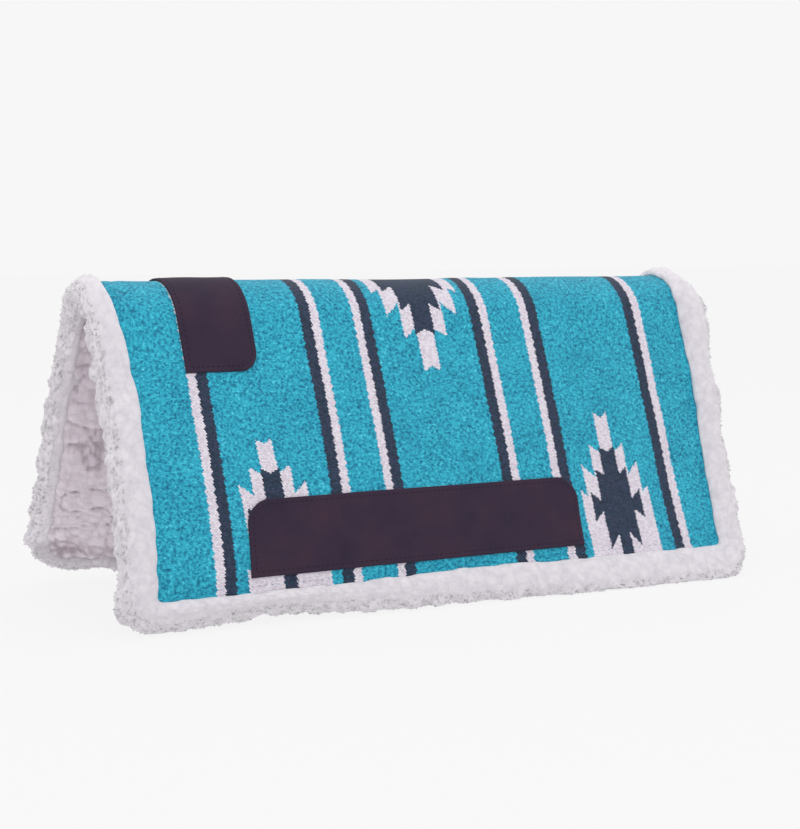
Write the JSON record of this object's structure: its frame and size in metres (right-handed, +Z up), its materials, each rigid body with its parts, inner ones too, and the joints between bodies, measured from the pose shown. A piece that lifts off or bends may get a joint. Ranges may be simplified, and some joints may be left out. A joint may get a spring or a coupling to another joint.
{
  "type": "saddle pad",
  "caption": "Western saddle pad: striped woven blanket over a felt core and fleece lining, with suede wear leathers and a fleece edge, folding along its spine.",
  "frame": {"origin": "centre of the pad's footprint, on the plane that both hems rest on", "axes": "+X along the spine towards the rear (the wither end is -X), -Y the near side, +Y the off side, +Z up"},
  "size_m": [0.752, 0.3386, 0.3373],
  "materials": {
    "blanket_weave": "heathered teal weave with dark and off-white stripes and stepped motifs",
    "felt": "grey needled felt, hidden",
    "fleece": "off-white sheared fleece pile",
    "suede": "dark brown suede, matt",
    "leather_thread": "dark bonded thread",
    "seam_thread": "teal sewing thread"
  },
  "bodies": {
    "near_side": {"near_blanket": "blanket_weave", "near_felt_core": "felt", "near_fleece_lining": "fleece", "near_front_binding": "fleece", "near_rear_binding": "fleece", "near_hem_binding": "fleece", "near_side_leather": "suede", "near_side_leather_stitching": "leather_thread", "near_binding_seam": "seam_thread", "near_quilting": "seam_thread", "near_wither_leather": "suede", "near_wither_stitching": "leather_thread", "ridge_blanket": "blanket_weave", "ridge_felt_core": "felt", "ridge_fleece_lining": "fleece", "ridge_front_binding": "fleece", "ridge_rear_binding": "fleece", "ridge_binding_seam": "seam_thread", "ridge_wither_leather": "suede", "ridge_wither_stitching": "leather_thread"},
    "off_side": {"off_blanket": "blanket_weave", "off_felt_core": "felt", "off_fleece_lining": "fleece", "off_front_binding": "fleece", "off_rear_binding": "fleece", "off_hem_binding": "fleece", "off_side_leather": "suede", "off_side_leather_stitching": "leather_thread", "off_binding_seam": "seam_thread", "off_quilting": "seam_thread", "off_wither_leather": "suede", "off_wither_stitching": "leather_thread"}
  },
  "joints": [
    {"name": "spine_fold", "type": "hinge", "parent": "near_side", "child": "off_side", "pos_m": [0, 0, 0.32891], "axis": [1, 0, 0], "range_deg": [-43, 137], "deforming": ["ridge_blanket", "ridge_felt_core", "ridge_fleece_lining", "ridge_front_binding", "ridge_rear_binding", "ridge_binding_seam", "ridge_wither_leather", "ridge_wither_stitching"]}
  ]
}
